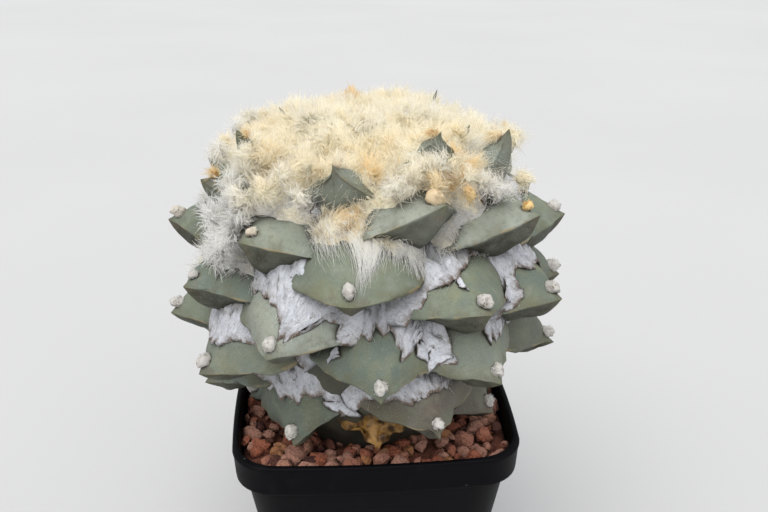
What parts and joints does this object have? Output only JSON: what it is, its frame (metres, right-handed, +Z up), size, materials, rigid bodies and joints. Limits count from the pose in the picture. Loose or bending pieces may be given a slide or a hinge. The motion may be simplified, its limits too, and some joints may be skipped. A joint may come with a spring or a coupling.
{
  "type": "potted cactus",
  "caption": "Tall globular cactus of overlapping beaked tubercles with a woolly cream crown, in a square black nursery pot topped with red lava gravel.",
  "frame": {"origin": "middle of the pot's flat base, on the surface that the pot stands on", "axes": "+Z up along the plant, -Y towards the front, +X to the right as seen from the front"},
  "size_m": [0.1253, 0.124, 0.1796],
  "materials": {
    "pot_plastic": "satin",
    "mix": "matte",
    "lava": "matte",
    "flesh": "satin",
    "wool": "matte"
  },
  "bodies": {
    "root": {"pot": "pot_plastic", "potting_mix": "mix", "lava_gravel": "lava", "cactus": "flesh", "crown_wool": "wool"}
  },
  "joints": []
}
